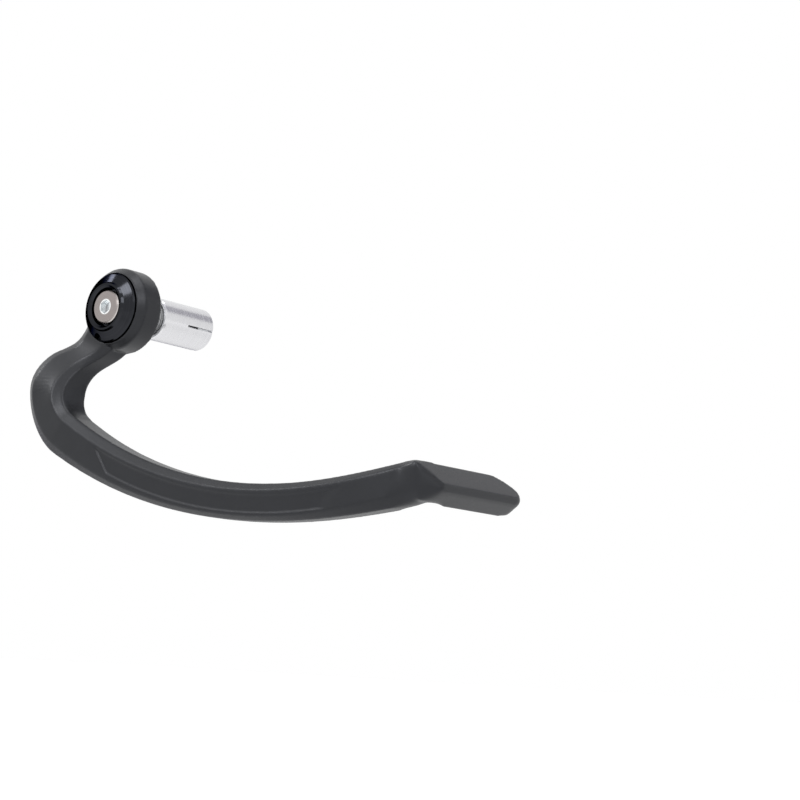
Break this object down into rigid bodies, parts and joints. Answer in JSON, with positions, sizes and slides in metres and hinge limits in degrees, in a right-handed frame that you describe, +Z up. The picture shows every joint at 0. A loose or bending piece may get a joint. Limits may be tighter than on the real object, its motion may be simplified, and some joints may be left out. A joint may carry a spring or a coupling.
{
  "type": "lever guard",
  "caption": "Moulded bar-end lever guard: a ring and bowed C-shaped arm with an angled paddle, clamped to the handlebar's end by a slotted expander plug and a socket bolt.",
  "frame": {"origin": "on the handlebar's axis, in the flange's bar-side face, which meets the end of the bar", "axes": "+X along the handlebar and outboard, +Y forward, +Z up; the plug points to -X into the bar, the arm hangs below the ring and runs forward"},
  "size_m": [0.0768, 0.1941, 0.1044],
  "materials": {
    "arm_nylon": "glass-filled nylon, black, satin moulded skin",
    "cap_anodised": "turned, black anodised, glossy",
    "bolt_steel": "zinc-plated steel, bright",
    "bush_aluminium": "turned, fine",
    "sleeve_aluminium": "turned, satin",
    "nut_aluminium": "turned, knurled rim"
  },
  "bodies": {
    "bar_fixed": {"bar_end_bush": "bush_aluminium", "expander_sleeve": "sleeve_aluminium", "end_cap": "cap_anodised"},
    "arm": {"guard_arm": "arm_nylon"},
    "bolt": {"clamp_bolt": "bolt_steel"},
    "nut": {"cone_nut": "nut_aluminium"}
  },
  "joints": [
    {"name": "arm_swivel", "type": "hinge", "parent": "bar_fixed", "child": "arm", "pos_m": [0.006, 0, 0], "axis": [1, 0, 0], "continuous": true},
    {"name": "bolt_turn", "type": "hinge", "parent": "bar_fixed", "child": "bolt", "pos_m": [0.016, 0, 0], "axis": [1, 0, 0], "range_deg": [0, 1152]},
    {"name": "nut_draw", "type": "slide", "parent": "bar_fixed", "child": "nut", "axis": [1, 0, 0], "range_m": [-0.004, 0]}
  ],
  "couplings": [
    {"joint": "bolt_turn", "follows": "nut_draw", "rad_per_m": -5026.5}
  ]
}
